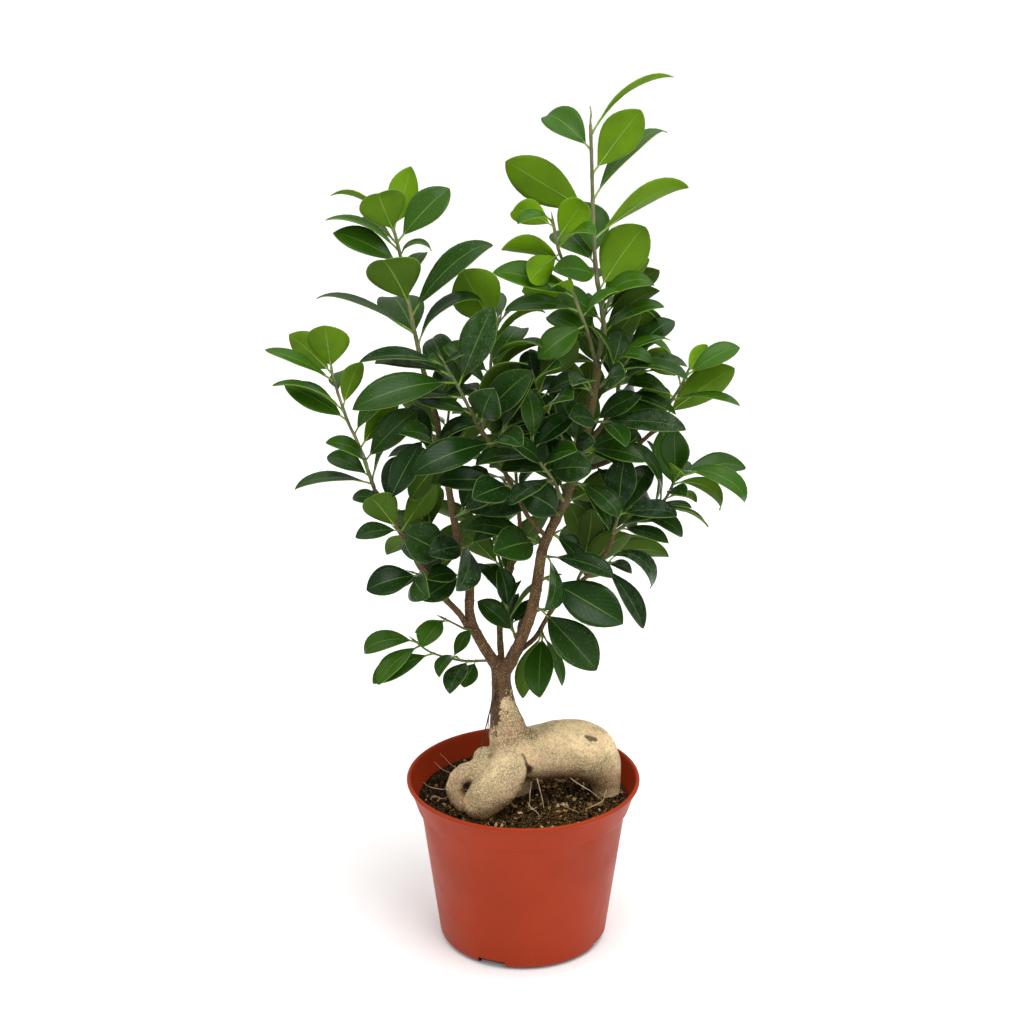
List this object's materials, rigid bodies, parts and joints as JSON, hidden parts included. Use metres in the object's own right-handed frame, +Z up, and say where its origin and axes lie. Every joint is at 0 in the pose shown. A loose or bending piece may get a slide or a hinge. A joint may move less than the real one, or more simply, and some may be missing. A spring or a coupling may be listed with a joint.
{
  "type": "potted plant",
  "caption": "Ginseng ficus bonsai with a swollen two-lobed root and leafy branches, growing in a terracotta-coloured plastic nursery pot.",
  "frame": {"origin": "on the pot's axis, in the plane that the pot stands on", "axes": "+Z up along the pot's axis, +X to the plant's right seen from its front, -Y to the front, where the curled root faces"},
  "size_m": [0.2333, 0.1443, 0.448],
  "materials": {
    "pot_plastic": "satin terracotta-coloured moulded plastic, darker inside",
    "potting_soil": "moist granular compost of peat and bark with pale chips",
    "caudex_bark": "smooth tan root skin with pale speckles and fine wrinkles",
    "stem_bark": "rough brown bark with pale pores",
    "leaf_green": "leathery glossy dark green leaves",
    "young_leaf_green": "thin glossy yellow-green young leaves"
  },
  "bodies": {
    "root": {"arching_spur": "leaf_green", "back_shoot_far_right": "leaf_green", "back_shoot_high": "leaf_green", "back_shoot_left": "leaf_green", "back_shoot_low": "leaf_green", "back_shoot_mid": "leaf_green", "back_shoot_outer": "leaf_green", "back_shoot_right": "leaf_green", "back_shoot_top": "leaf_green", "back_stem": "stem_bark", "between_stems_twig": "leaf_green", "branch_spur_high": "leaf_green", "branch_spur_low": "leaf_green", "branch_spur_middle": "leaf_green", "caudex": "caudex_bark", "centre_branch": "stem_bark", "centre_high_shoot": "leaf_green", "centre_mid_spur": "leaf_green", "centre_shoot": "leaf_green", "curled_leaf_spur": "leaf_green", "far_left_branch": "stem_bark", "far_left_shoot": "young_leaf_green", "front_spur_a": "leaf_green", "front_spur_b": "leaf_green", "front_spur_c": "leaf_green", "hanging_spur": "leaf_green", "heart_shoot": "leaf_green", "heart_side_spur": "leaf_green", "inner_top_shoot": "leaf_green", "leader_shoot": "young_leaf_green", "left_centre_shoot": "leaf_green", "left_high_spur": "leaf_green", "left_inner_spur": "leaf_green", "left_low_spur": "leaf_green", "left_middle_spur": "leaf_green", "left_side_shoot": "leaf_green", "left_stem": "stem_bark", "left_upper_spur": "leaf_green", "light_shoot": "leaf_green", "low_left_twig": "leaf_green", "low_right_branch": "stem_bark", "lower_centre_spur": "leaf_green", "lower_right_spur": "leaf_green", "pot": "pot_plastic", "right_branch": "stem_bark", "right_fork_spur": "leaf_green", "right_high_spur": "leaf_green", "right_lower_shoot": "leaf_green", "right_mid_spur": "leaf_green", "right_near_shoot": "leaf_green", "right_outer_spur": "leaf_green", "right_stem": "stem_bark", "right_upper_shoot": "young_leaf_green", "round_leaf_spur": "leaf_green", "second_shoot": "young_leaf_green", "shelf_shoot": "leaf_green", "small_left_twig": "leaf_green", "soil": "potting_soil", "upper_branch": "stem_bark", "upper_left_shoot": "young_leaf_green"}
  },
  "joints": []
}
